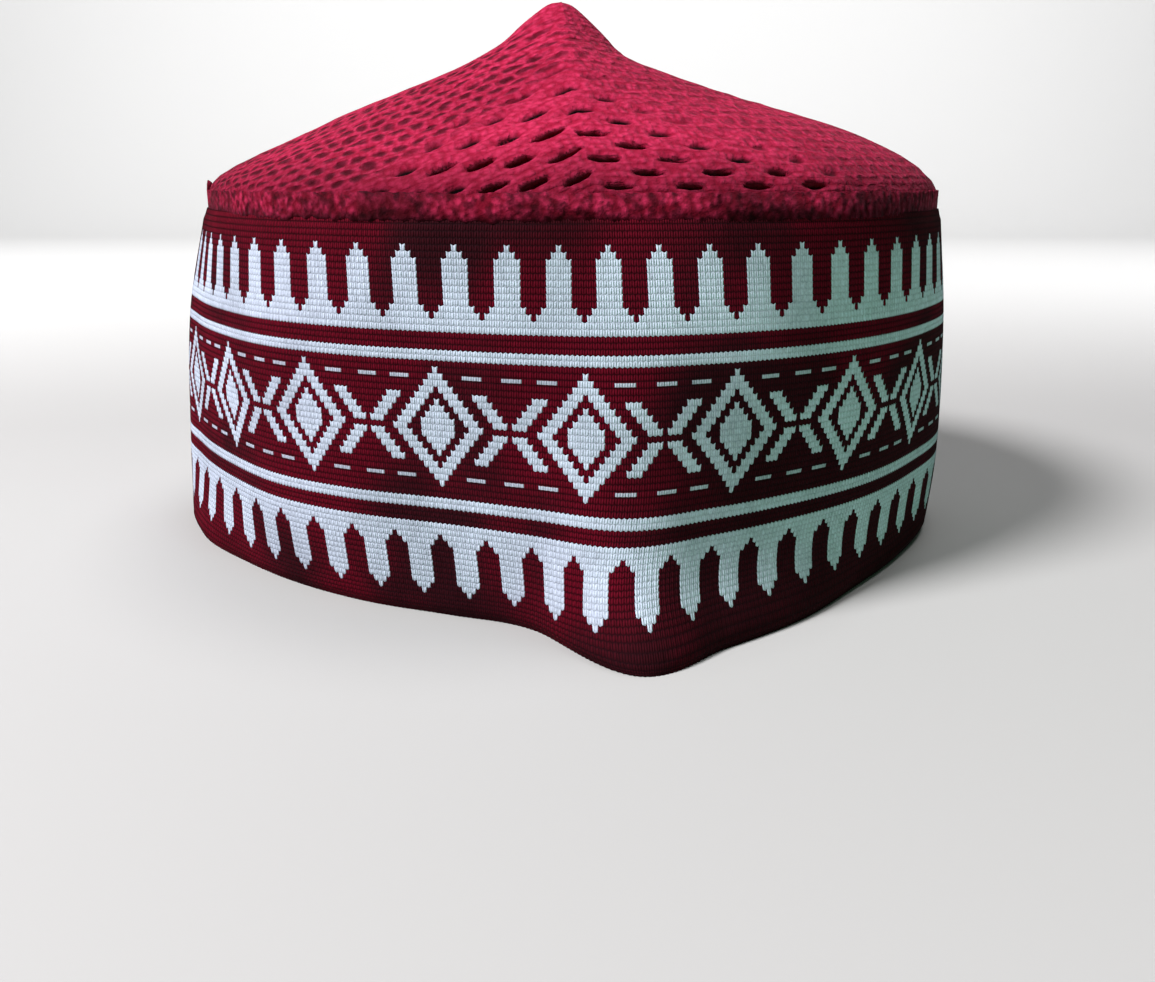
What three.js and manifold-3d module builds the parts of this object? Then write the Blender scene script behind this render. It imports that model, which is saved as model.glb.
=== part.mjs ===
// Knitted prayer cap, standing on its hem by itself: a patterned band, an openwork crown
// that rises to a soft peak, and the raised seam that links them.
// Millimetres, +Z up, the front crease points to -Y, the hem stands on z = 0.
import * as THREE from "three";
import { mergeVertices } from "three/addons/utils/BufferGeometryUtils.js";
import Module from "manifold-3d";

const manifold = await Module();
manifold.setup();

// Main sizes of the cap
const HALF_WIDTH = 97; // centre to side at the widest part of the band
const BAND_HEIGHT = 79.4;
const CROWN_RISE = 43.8; // from the foot of the crown to the peak
const PEAK_SIDE = 2.4; // the peak leans this far to the right of the centre

// Knitted walls
const BAND_WALL = 3; // two layers of knitting
const CROWN_WALL = 2;
const HEM_TURN = 1.1; // how far the turned hem draws in at the floor
const HEM_DEPTH = 2.6; // height over which it does

// Raised seam between band and crown
const SEAM_WIDTH = 3.6;
const SEAM_HEIGHT = 2.6;
const PIECE_GAP = 0.3;

// Front crease of the crown
const CREASE_ANGLE = 9;
const CREASE_RISE = 2.6;
const CREASE_SPREAD = 13; // degrees either side

// Eyelets of the openwork knit
const EYELET_PITCH = 12.4; // along a row
const EYELET_ROW = 5.3; // from row to row, up the slope
const EYELET_WIDTH = 6.2;
const EYELET_HEIGHT = 2.5;
const EYELET_ROWS = 6; // rows that stand open at the front
const FIRST_ROW = 3.2; // up the slope from the foot of the crown
const SLANT = 0.85; // drop of a row per millimetre to the left of the crease

const STEP = 5; // degrees between sections
const FINE_STEP = 2.5; // and around the front crease

// Plan of the band: a row per fold or flat, as shares of HALF_WIDTH. Angles run from the
// front to the right. The hem flares at the front crease and draws in to its left.
const PLAN = [
  { angle: -90, hem: 1.0, low: 0.975, high: 0.962, top: 0.906 },
  { angle: -75, hem: 0.945, low: 0.915, high: 0.893, top: 0.85 },
  { angle: -60, hem: 0.862, low: 0.858, high: 0.852, top: 0.824 },
  { angle: -45, hem: 0.812, low: 0.832, high: 0.836, top: 0.818 },
  { angle: -30, hem: 0.785, low: 0.804, high: 0.816, top: 0.813 },
  { angle: -15, hem: 0.778, low: 0.792, high: 0.806, top: 0.816 },
  { angle: -2, hem: 0.826, low: 0.836, high: 0.83, top: 0.816 },
  { angle: 10, hem: 1.044, low: 0.93, high: 0.87, top: 0.808 },
  { angle: 22, hem: 0.99, low: 0.905, high: 0.878, top: 0.836 },
  { angle: 35, hem: 0.958, low: 0.898, high: 0.892, top: 0.868 },
  { angle: 50, hem: 0.938, low: 0.917, high: 0.917, top: 0.898 },
  { angle: 65, hem: 0.957, low: 0.95, high: 0.95, top: 0.93 },
  { angle: 80, hem: 1.012, low: 1.005, high: 0.996, top: 0.962 },
  { angle: 95, hem: 1.044, low: 1.044, high: 1.03, top: 0.968 },
  { angle: 120, hem: 0.99, low: 0.99, high: 0.98, top: 0.935 },
  { angle: 150, hem: 0.91, low: 0.91, high: 0.905, top: 0.87 },
  { angle: 180, hem: 0.92, low: 0.915, high: 0.9, top: 0.86 },
  { angle: 210, hem: 0.9, low: 0.9, high: 0.895, top: 0.86 },
  { angle: 240, hem: 0.96, low: 0.96, high: 0.95, top: 0.905 },
];
const PLAN_HEIGHTS = { hem: 0, low: 0.252, high: 0.679, top: 1 }; // shares of BAND_HEIGHT

// Slope of the crown: rise as a share of CROWN_RISE, at a share of the way out from the
// peak. It climbs faster from the sides than from the front, and dips beside the peak.
const SLOPE = [
  { reach: 1.0, front: 0.0, left: 0.0, right: 0.0 },
  { reach: 0.975, front: 0.05, left: 0.085, right: 0.08 },
  { reach: 0.93, front: 0.095, left: 0.145, right: 0.16 },
  { reach: 0.86, front: 0.158, left: 0.2, right: 0.24 },
  { reach: 0.75, front: 0.252, left: 0.291, right: 0.335 },
  { reach: 0.6, front: 0.375, left: 0.422, right: 0.43 },
  { reach: 0.44, front: 0.522, left: 0.543, right: 0.525 },
  { reach: 0.3, front: 0.664, left: 0.651, right: 0.615 },
  { reach: 0.18, front: 0.795, left: 0.77, right: 0.71 },
  { reach: 0.09, front: 0.917, left: 0.912, right: 0.882 },
  { reach: 0.035, front: 0.982, left: 0.986, right: 0.977 },
];

// Section of the band from the hem up, as shares of BAND_HEIGHT.
const BAND_LEVELS = [0.12, 0.26, 0.42, 0.56, 0.7, 0.86, 1];

const rad = THREE.MathUtils.degToRad;
const wrap = (angle) => ((((angle + 180) % 360) + 360) % 360) - 180;

// Value of a named column at x, as a smooth curve through the rows of a table.
function along(table, key, column, x) {
  const last = table.length - 1;
  const rising = table[last][key] > table[0][key];
  let i = 0;
  while (i < last - 1 && (rising ? x > table[i + 1][key] : x < table[i + 1][key])) i++;
  const slopeAt = (k) => {
    const a = table[Math.max(k - 1, 0)];
    const b = table[Math.min(k + 1, last)];
    return (b[column] - a[column]) / (b[key] - a[key]);
  };
  const [a, b] = [table[i], table[i + 1]];
  const span = b[key] - a[key];
  const t = THREE.MathUtils.clamp((x - a[key]) / span, 0, 1);
  const [t2, t3] = [t * t, t * t * t];
  return (
    a[column] * (2 * t3 - 3 * t2 + 1) +
    b[column] * (3 * t2 - 2 * t3) +
    span * (slopeAt(i) * (t3 - 2 * t2 + t) + slopeAt(i + 1) * (t3 - t2))
  );
}

// The plan repeated past its ends, so that the curve closes smoothly.
const turned = (by) => PLAN.map((row) => ({ ...row, angle: row.angle + by }));
const PLAN_ROUND = [...turned(-360).slice(-3), ...PLAN, ...turned(360).slice(0, 3)];
const planShare = (column, angle) => along(PLAN_ROUND, "angle", column, wrap(angle));

// Outer radius of the band at an angle and a share of its height.
function bandRadius(angle, share) {
  const rows = Object.entries(PLAN_HEIGHTS).map(([column, at]) => ({
    at,
    radius: planShare(column, angle),
  }));
  return HALF_WIDTH * along(rows, "at", "radius", share);
}

const polar = (angle, radius, z) =>
  new THREE.Vector3(radius * Math.sin(rad(angle)), -radius * Math.cos(rad(angle)), z);

const ANGLES = [];
for (let a = -180; a < 180; a += Math.abs(a - CREASE_ANGLE) < 25 ? FINE_STEP : STEP) ANGLES.push(a);

// Ring of points on the band, drawn in by a distance square to the plan.
function bandRing(share, inset, z) {
  return ANGLES.map((angle) => {
    const point = (a) => polar(a, bandRadius(a, share), z);
    const tangent = point(angle + 1).sub(point(angle - 1)).normalize();
    return point(angle).addScaledVector(new THREE.Vector3(-tangent.y, tangent.x, 0), inset);
  });
}

// Joins rings of equal length into a strip of triangles, two to a cell.
function stitch(rings, closed) {
  const n = rings[0].length;
  const index = [];
  const rows = closed ? rings.length : rings.length - 1;
  for (let r = 0; r < rows; r++) {
    const s = (r + 1) % rings.length;
    for (let i = 0; i < n; i++) {
      const j = (i + 1) % n;
      index.push(r * n + i, r * n + j, s * n + j, r * n + i, s * n + j, s * n + i);
    }
  }
  return index;
}

function shellGeometry(points, index) {
  const geometry = new THREE.BufferGeometry().setFromPoints(points);
  geometry.setIndex(index);
  return geometry;
}

function bandGeometry() {
  const hemShare = HEM_DEPTH / BAND_HEIGHT;
  const levels = [hemShare, ...BAND_LEVELS.filter((share) => share > hemShare * 1.5)];
  const rings = [bandRing(0, HEM_TURN, 0)];
  for (const share of levels) rings.push(bandRing(share, 0, share * BAND_HEIGHT));
  for (const share of [...levels].reverse())
    rings.push(bandRing(share, BAND_WALL, share * BAND_HEIGHT));
  rings.push(bandRing(0, BAND_WALL, 0));
  return shellGeometry(rings.flat(), stitch(rings, true));
}

// The seam is a flattened round ridge that follows the top of the band.
const SEAM_FOOT = BAND_HEIGHT + PIECE_GAP;
function seamGeometry() {
  const middle = BAND_WALL / 2;
  const section = [
    { out: 0.3, up: 0 },
    { out: 0.5, up: 0.3 },
    { out: 0.5, up: 0.7 },
    { out: 0.3, up: 1 },
    { out: -0.3, up: 1 },
    { out: -0.5, up: 0.7 },
    { out: -0.5, up: 0.3 },
    { out: -0.3, up: 0 },
  ];
  const rings = section.map(({ out, up }) =>
    bandRing(1, middle - out * SEAM_WIDTH, SEAM_FOOT + up * SEAM_HEIGHT),
  );
  return shellGeometry(rings.flat(), stitch(rings, true));
}

// Outer face of the crown, from the foot (reach 1) to the peak (reach 0).
const CROWN_FOOT = SEAM_FOOT + SEAM_HEIGHT + PIECE_GAP;
const FOOT_INSET = (BAND_WALL - CROWN_WALL) / 2;
function crownPoint(angle, reach) {
  const foot = polar(angle, bandRadius(angle, 1) - FOOT_INSET, 0);
  const across = Math.sin(rad(angle));
  const side = along(SLOPE, "reach", across < 0 ? "left" : "right", reach);
  const front = along(SLOPE, "reach", "front", reach);
  const rise = front + (side - front) * across ** 2;
  const off = wrap(angle - CREASE_ANGLE) / CREASE_SPREAD;
  const crease = CREASE_RISE * Math.exp(-(Math.abs(off) ** 1.4)) * 4 * reach * (1 - reach);
  const peak = new THREE.Vector3(PEAK_SIDE, 0, 0);
  const point = peak.lerp(foot, reach);
  return point.setZ(CROWN_FOOT + CROWN_RISE * rise + crease);
}

// Directions on the crown: along a row, up the slope, and outwards.
function crownFrame(angle, reach) {
  const row = crownPoint(angle + 1, reach).sub(crownPoint(angle - 1, reach)).normalize();
  const [lower, upper] = [Math.min(reach + 0.02, 1), Math.max(reach - 0.02, 0.02)];
  const slope = crownPoint(angle, upper).sub(crownPoint(angle, lower)).normalize();
  const out = row.clone().cross(slope).normalize();
  return { row, slope: out.clone().cross(row), out };
}

function crownShell() {
  const reaches = SLOPE.map((row) => row.reach);
  const ring = (reach, inset) =>
    ANGLES.map((angle) => {
      const point = crownPoint(angle, reach);
      const { out } = crownFrame(angle, reach);
      if (reach === 1 && inset > 0) out.setZ(0).normalize();
      return point.addScaledVector(out, -inset);
    });
  const rings = reaches.map((reach) => ring(reach, CROWN_WALL));
  rings.reverse();
  rings.push(...reaches.map((reach) => ring(reach, 0)));
  const points = rings.flat();
  const index = stitch(rings, false);
  const top = CROWN_FOOT + CROWN_RISE;
  const n = ANGLES.length;
  const inner = points.push(new THREE.Vector3(PEAK_SIDE, 0, top - CROWN_WALL)) - 1;
  const outer = points.push(new THREE.Vector3(PEAK_SIDE, 0, top)) - 1;
  const last = (rings.length - 1) * n;
  for (let i = 0; i < n; i++) {
    const j = (i + 1) % n;
    index.push(inner, j, i, outer, last + i, last + j);
  }
  return shellGeometry(points, index);
}

// Place on the crown at a distance along the row from the crease and up the slope.
function crownPlace(along_row, up) {
  let reach = 1;
  let climbed = 0;
  let last = crownPoint(CREASE_ANGLE, 1);
  while (climbed < up && reach > 0.3) {
    reach -= 0.01;
    const next = crownPoint(CREASE_ANGLE, reach);
    climbed += next.distanceTo(last);
    last = next;
  }
  let angle = CREASE_ANGLE;
  let walked = 0;
  last = crownPoint(angle, reach);
  while (walked < Math.abs(along_row)) {
    angle += Math.sign(along_row);
    const next = crownPoint(angle, reach);
    walked += next.distanceTo(last);
    last = next;
  }
  return { angle, reach };
}

// Eyelets stand open at the front, in staggered rows. Left of the crease the rows slant
// down towards the seam. They are smaller away from the crease and up the slope.
function eyeletPlaces() {
  const places = [];
  for (let row = 0; row < EYELET_ROWS * 3; row++) {
    for (let i = -4; i <= 5; i++) {
      const x = (i + (row % 2) / 2 + 0.25) * EYELET_PITCH;
      const y = FIRST_ROW + row * EYELET_ROW + (x < 0 ? SLANT * x : 0);
      const openUp = EYELET_ROWS * EYELET_ROW * (1 - (Math.abs(x) / EYELET_PITCH) * 0.12);
      if (y < FIRST_ROW - 0.6 || y > openUp) continue;
      const size = 1 - 0.35 * (Math.abs(x) / (6 * EYELET_PITCH)) - 0.3 * (y / openUp);
      places.push({ x, y, size, slant: x < 0 ? Math.atan(SLANT) : 0 });
    }
  }
  return places;
}

const toManifold = (geometry) => {
  const plain = new THREE.BufferGeometry();
  plain.setAttribute("position", geometry.getAttribute("position"));
  plain.setIndex(geometry.getIndex());
  const merged = mergeVertices(plain, 1e-4);
  return new manifold.Manifold(
    new manifold.Mesh({
      numProp: 3,
      vertProperties: new Float32Array(merged.getAttribute("position").array),
      triVerts: new Uint32Array(merged.getIndex().array),
    }),
  );
};

function fromManifold(solid) {
  const { vertProperties, triVerts } = solid.getMesh();
  const geometry = new THREE.BufferGeometry();
  geometry.setAttribute("position", new THREE.BufferAttribute(vertProperties, 3));
  geometry.setIndex(new THREE.BufferAttribute(triVerts, 1));
  return geometry;
}

function crownGeometry() {
  let crown = toManifold(crownShell());
  for (const { x, y, size, slant } of eyeletPlaces()) {
    const { angle, reach } = crownPlace(x, y);
    const { row, slope, out } = crownFrame(angle, reach);
    const cutter = new THREE.CylinderGeometry(0.5, 0.5, CROWN_WALL * 4, 8);
    cutter.rotateX(Math.PI / 2);
    cutter.scale(EYELET_WIDTH * size, EYELET_HEIGHT * size, 1);
    cutter.rotateZ(slant);
    cutter.applyMatrix4(new THREE.Matrix4().makeBasis(row, slope, out));
    const middle = crownPoint(angle, reach).addScaledVector(out, -CROWN_WALL / 2);
    cutter.translate(middle.x, middle.y, middle.z);
    crown = crown.subtract(toManifold(cutter));
  }
  return fromManifold(crown);
}

const MAROON = { color: 0x5c0a20, roughness: 0.85, metalness: 0 };
const CRIMSON = { color: 0xa3183c, roughness: 0.92, metalness: 0 };

function piece(name, geometry, look) {
  geometry.computeVertexNormals();
  const mesh = new THREE.Mesh(geometry, new THREE.MeshStandardMaterial(look));
  mesh.name = name;
  return mesh;
}

const cap = new THREE.Group();
cap.name = "prayer_cap";
cap.add(piece("band", bandGeometry(), MAROON));
cap.add(piece("join_seam", seamGeometry(), CRIMSON));
cap.add(piece("crown", crownGeometry(), CRIMSON));

// The origin is under the middle of the whole cap.
const middle = new THREE.Box3().setFromObject(cap).getCenter(new THREE.Vector3());
for (const mesh of cap.children) mesh.geometry.translate(-middle.x, -middle.y, 0);

export default cap;
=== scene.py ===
"""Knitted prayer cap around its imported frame: band, linked seam and openwork crown.

Everything is in metres, +Z up, the front crease points to -Y and the hem stands on z = 0.
"""

import logging
import math
from collections.abc import Callable, Iterator
from dataclasses import dataclass, field
from enum import Enum

import bpy
import numpy as np
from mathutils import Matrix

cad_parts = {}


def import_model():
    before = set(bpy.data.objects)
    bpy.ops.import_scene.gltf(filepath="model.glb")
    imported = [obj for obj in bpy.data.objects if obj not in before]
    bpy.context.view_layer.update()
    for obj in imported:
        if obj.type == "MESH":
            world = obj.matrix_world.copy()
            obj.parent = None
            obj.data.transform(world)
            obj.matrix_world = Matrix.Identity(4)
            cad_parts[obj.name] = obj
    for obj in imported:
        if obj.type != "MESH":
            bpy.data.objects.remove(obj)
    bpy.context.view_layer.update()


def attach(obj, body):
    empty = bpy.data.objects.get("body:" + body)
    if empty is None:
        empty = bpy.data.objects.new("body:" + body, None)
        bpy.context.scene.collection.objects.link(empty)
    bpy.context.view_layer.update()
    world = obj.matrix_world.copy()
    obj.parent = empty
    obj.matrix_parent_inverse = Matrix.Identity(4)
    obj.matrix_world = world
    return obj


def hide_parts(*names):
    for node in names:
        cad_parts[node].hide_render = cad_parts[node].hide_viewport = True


log = logging.getLogger("prayer_cap")

MM = 0.001
HALF_WIDTH = 97 * MM
BAND_HEIGHT = 79.4 * MM
CROWN_RISE = 43.8 * MM
PEAK_SIDE = 2.4 * MM
BAND_WALL = 3 * MM
CROWN_WALL = 2 * MM
HEM_TURN = 1.1 * MM
HEM_DEPTH = 2.6 * MM
SEAM_HEIGHT = 2.6 * MM
PIECE_GAP = 0.3 * MM
CREASE_ANGLE = 9.0
CREASE_RISE = 2.6 * MM
CREASE_SPREAD = 13.0
MIDDLE = (2.1365 * MM, -4.7352 * MM)  # the part's origin, from the centre of the plan

SEAM_FOOT = BAND_HEIGHT + PIECE_GAP
CROWN_FOOT = SEAM_FOOT + SEAM_HEIGHT + PIECE_GAP
ROWS_FOOT = 80.4 * MM  # height from which the rows of the openwork are counted
CROWN_SINK = 0.3 * MM  # how far the crown's knitting lies under the plan's face
RING_POINTS = 7201  # one for each twentieth of a degree
ANGLE_STEP = 0.4  # degrees to each side that give a direction along a ring
INWARD_STEP = 0.01  # share of the way in to each side that gives a direction up the slope

# Plan of the band: angle, then shares of HALF_WIDTH at four heights.
PLAN_HEIGHTS = np.array([0.0, 0.252, 0.679, 1.0])
PLAN = np.array(
    [
        (-90, 1.0, 0.993, 0.955, 0.885),
        (-75, 0.945, 0.915, 0.892, 0.842),
        (-60, 0.862, 0.858, 0.852, 0.824),
        (-45, 0.812, 0.832, 0.836, 0.818),
        (-30, 0.785, 0.804, 0.816, 0.813),
        (-15, 0.778, 0.792, 0.806, 0.816),
        (-2, 0.826, 0.836, 0.83, 0.816),
        (10, 1.044, 0.93, 0.87, 0.808),
        (22, 0.98, 0.905, 0.878, 0.836),
        (35, 0.946, 0.896, 0.892, 0.868),
        (50, 0.921, 0.915, 0.917, 0.898),
        (65, 0.947, 0.95, 0.95, 0.93),
        (80, 1.004, 1.015, 0.998, 0.962),
        (95, 1.044, 1.056, 1.032, 0.966),
        (120, 0.99, 0.99, 0.98, 0.935),
        (150, 0.91, 0.91, 0.905, 0.87),
        (180, 0.92, 0.915, 0.9, 0.86),
        (210, 0.9, 0.9, 0.895, 0.86),
        (240, 0.96, 0.96, 0.95, 0.905),
    ]
)

# Slope of the crown: share of the way in from the foot, then rise at front, left and right.
SLOPE = np.array(
    [
        (0.0, 0.0, 0.0, 0.0),
        (0.025, 0.05, 0.072, 0.08),
        (0.07, 0.095, 0.132, 0.16),
        (0.14, 0.158, 0.2, 0.24),
        (0.25, 0.252, 0.291, 0.335),
        (0.4, 0.375, 0.422, 0.43),
        (0.56, 0.522, 0.543, 0.525),
        (0.7, 0.664, 0.651, 0.615),
        (0.82, 0.795, 0.77, 0.71),
        (0.91, 0.917, 0.912, 0.882),
        (0.965, 0.982, 0.986, 0.977),
        (1.0, 1.0, 1.0, 1.0),
    ]
)

# Lean of the wales at the tips of the lower teeth: distance round from the front, then how
# far they lean to the right, in millimetres.
DRIFT = np.array(
    [
        *((-300, 0), (-180, 0), (-110, -2.0), (-85, -1.6), (-60, -0.6), (-40, 0.8)),
        *((-18, 1.8), (-7, 2.0), (2, 0.6), (10, -2.0), (20, -3.0), (32, -4.8)),
        *((47, -6.3), (62, -5.8), (92, -4.5), (132, -1.0), (300, 0)),
    ]
)

# Rows of the openwork: distance to the left of the crease in millimetres, then rows gained.
SLIPS = np.array([(2.5, 0), (15, 2.2), (27.5, 4.3), (37, 5.9), (83, 10.2), (120, 12.3), (250, 14)])

# Open eyelets: distance to the right of the crease, then how high they go, in millimetres.
OPEN_UP_TO = np.array(
    [
        *((-58, 0.3), (-45, 3.5), (-37, 6), (-28, 8.5), (-16, 12), (-6, 16), (0, 17)),
        *((6.5, 14), (12.5, 11), (20.7, 8.5), (33.4, 7), (44, 5.5), (62, 0.3)),
    ]
)

Array = np.ndarray
Socket = bpy.types.NodeSocket
Value = Socket | float | tuple


def along(keys: Array, values: Array, x: Array) -> Array:
    """Smooth curve through the rows of a table.

    Args:
        keys: Rising places of the rows.
        values: One row of values for each key.
        x: Places to read, as a flat array.

    Returns:
        A row of values for each place.
    """
    values = np.asarray(values, float).reshape(len(keys), -1)
    x = np.atleast_1d(np.asarray(x, float))
    last = len(keys) - 1
    lower = np.clip(np.arange(last + 1) - 1, 0, last)
    upper = np.clip(np.arange(last + 1) + 1, 0, last)
    slopes = (values[upper] - values[lower]) / (keys[upper] - keys[lower])[:, None]
    i = np.clip(np.searchsorted(keys, x, side="right") - 1, 0, last - 1)
    span = (keys[i + 1] - keys[i])[:, None]
    t = np.clip((x[:, None] - keys[i][:, None]) / span, 0, 1)
    t2, t3 = t * t, t * t * t
    return (
        values[i] * (2 * t3 - 3 * t2 + 1)
        + values[i + 1] * (3 * t2 - 2 * t3)
        + span * (slopes[i] * (t3 - 2 * t2 + t) + slopes[i + 1] * (t3 - t2))
    )


def smooth(low: float, high: float, x: Array) -> Array:
    """Smooth step from 0 at low to 1 at high."""
    t = np.clip((x - low) / (high - low), 0, 1)
    return t * t * (3 - 2 * t)


def wrap(angle: Array) -> Array:
    """Angle in degrees brought between -180 and 180."""
    return (np.asarray(angle, float) + 180) % 360 - 180


def unit(vectors: Array) -> Array:
    """Vectors scaled to length 1."""
    return vectors / np.maximum(np.linalg.norm(vectors, axis=-1, keepdims=True), 1e-12)


def lengths(points: Array) -> Array:
    """Distance from the first of a run of points to each of them, along the run."""
    return np.concatenate([[0], np.cumsum(np.linalg.norm(np.diff(points, axis=0), axis=1))])


def turned(radius: Array, angle: Array, height: Array) -> Array:
    """Points of the part from radii and angles in degrees round the plan's centre."""
    a = np.radians(angle)
    return np.stack([radius * np.sin(a) - MIDDLE[0], -radius * np.cos(a) - MIDDLE[1], height], -1)


@dataclass(frozen=True)
class CapPlan:
    """Outer faces of the cap, from its named sizes."""

    def radius(self, angle: Array, share: Array) -> Array:
        """Outer radius of the band.

        Args:
            angle: Degrees from the front to the right, a flat array.
            share: Shares of the band's height, a flat array.

        Returns:
            Radii, one row for each share and one column for each angle.
        """
        keys = np.concatenate([PLAN[-3:, 0] - 360, PLAN[:, 0], PLAN[:3, 0] + 360])
        rows = np.concatenate([PLAN[-3:, 1:], PLAN[:, 1:], PLAN[:3, 1:]])
        shares = along(keys, rows, wrap(angle))
        return HALF_WIDTH * along(PLAN_HEIGHTS, shares.T, share)

    def band(self, angle: Array, height: Array) -> Array:
        """Points on the outer face of the band, as rows of heights and columns of angles."""
        r = self.radius(angle, height / BAND_HEIGHT)
        return turned(r, angle, np.broadcast_to(height[:, None], r.shape))

    def band_inward(self, angle: Array, height: Array) -> Array:
        """Level directions square to the band's plan, towards its inside."""
        ahead, behind = angle + ANGLE_STEP, angle - ANGLE_STEP
        tangent = unit(self.band(ahead, height) - self.band(behind, height))
        return np.stack([-tangent[..., 1], tangent[..., 0], 0 * tangent[..., 0]], -1)

    def crown(self, angle: Array, inward: Array) -> Array:
        """Points on the outer face of the crown.

        Args:
            angle: Degrees, a flat array.
            inward: Shares of the way from the foot to the peak, a flat array.

        Returns:
            Points, as rows of shares and columns of angles.
        """
        inset = (BAND_WALL - CROWN_WALL) / 2
        r = self.radius(angle, np.array([1.0]))[0] - inset
        a = np.radians(angle)
        across = np.sin(a)[None, :]
        rise = along(SLOPE[:, 0], SLOPE[:, 1:], inward)
        side = np.where(across < 0, rise[:, 1:2], rise[:, 2:3])
        lift = rise[:, :1] + (side - rise[:, :1]) * across**2
        off = np.abs(wrap(angle - CREASE_ANGLE)) / CREASE_SPREAD
        reach = 1 - inward[:, None]
        crease = CREASE_RISE * np.exp(-(off**1.4))[None, :] * 4 * reach * (1 - reach)
        x = PEAK_SIDE + (r * np.sin(a) - PEAK_SIDE)[None, :] * reach - MIDDLE[0]
        y = -(r * np.cos(a))[None, :] * reach - MIDDLE[1]
        return np.stack([x, y, CROWN_FOOT + CROWN_RISE * lift + crease], -1)


def even_angles(
    points_at: Callable[[Array], Array],
    count: int,
    start: float,
    weights: Callable[[Array], Array] | None = None,
) -> Array:
    """Angles that divide a closed ring into parts of even length.

    Args:
        points_at: Function from angles to a ring of points.
        count: How many parts.
        start: Angle of the first point.
        weights: Function from angles to how close together the points stand.

    Returns:
        The angles, rising from start.
    """
    fine = start + np.linspace(0, 360, RING_POINTS)
    steps = np.linalg.norm(np.diff(points_at(fine), axis=0), axis=1)
    if weights is not None:
        steps = steps * weights((fine[1:] + fine[:-1]) / 2)
    run = np.concatenate([[0], np.cumsum(steps)])
    return np.interp(np.arange(count) / count * run[-1], run, fine)


def grid_faces(rows: int, columns: int, closed_rows: bool = False) -> Array:
    """Quads of rings of points, each joined to the next.

    Args:
        rows: Number of rings.
        columns: Points in a ring.
        closed_rows: Whether the last ring joins the first.

    Returns:
        Four point numbers for each quad.
    """
    r = np.arange(rows if closed_rows else rows - 1)[:, None]
    c = np.arange(columns)[None, :]
    s, d = (r + 1) % rows, (c + 1) % columns
    quads = [r * columns + c, r * columns + d, s * columns + d, s * columns + c]
    return np.stack([np.broadcast_to(q, (len(r), columns)) for q in quads], -1).reshape(-1, 4)


def make_mesh(name: str, points: Array, faces: list) -> bpy.types.Object:
    """New object from points and faces, with smooth faces."""
    mesh = bpy.data.meshes.new(name)
    mesh.from_pydata(points.tolist(), [], faces)
    mesh.polygons.foreach_set("use_smooth", np.ones(len(mesh.polygons), bool))
    mesh.update()
    thing = bpy.data.objects.new(name, mesh)
    bpy.context.scene.collection.objects.link(thing)
    return thing


def add_uv(mesh: bpy.types.Mesh, name: str, values: Array) -> None:
    """UV map from one pair of numbers for each face corner."""
    layer = mesh.uv_layers.new(name=name)
    layer.data.foreach_set("uv", values.astype(np.float32).ravel())


def add_value(mesh: bpy.types.Mesh, name: str, domain: str, values: Array) -> None:
    """Named number on each point or face."""
    layer = mesh.attributes.new(name, "FLOAT", domain)
    layer.data.foreach_set("value", values.astype(np.float32).ravel())


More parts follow.
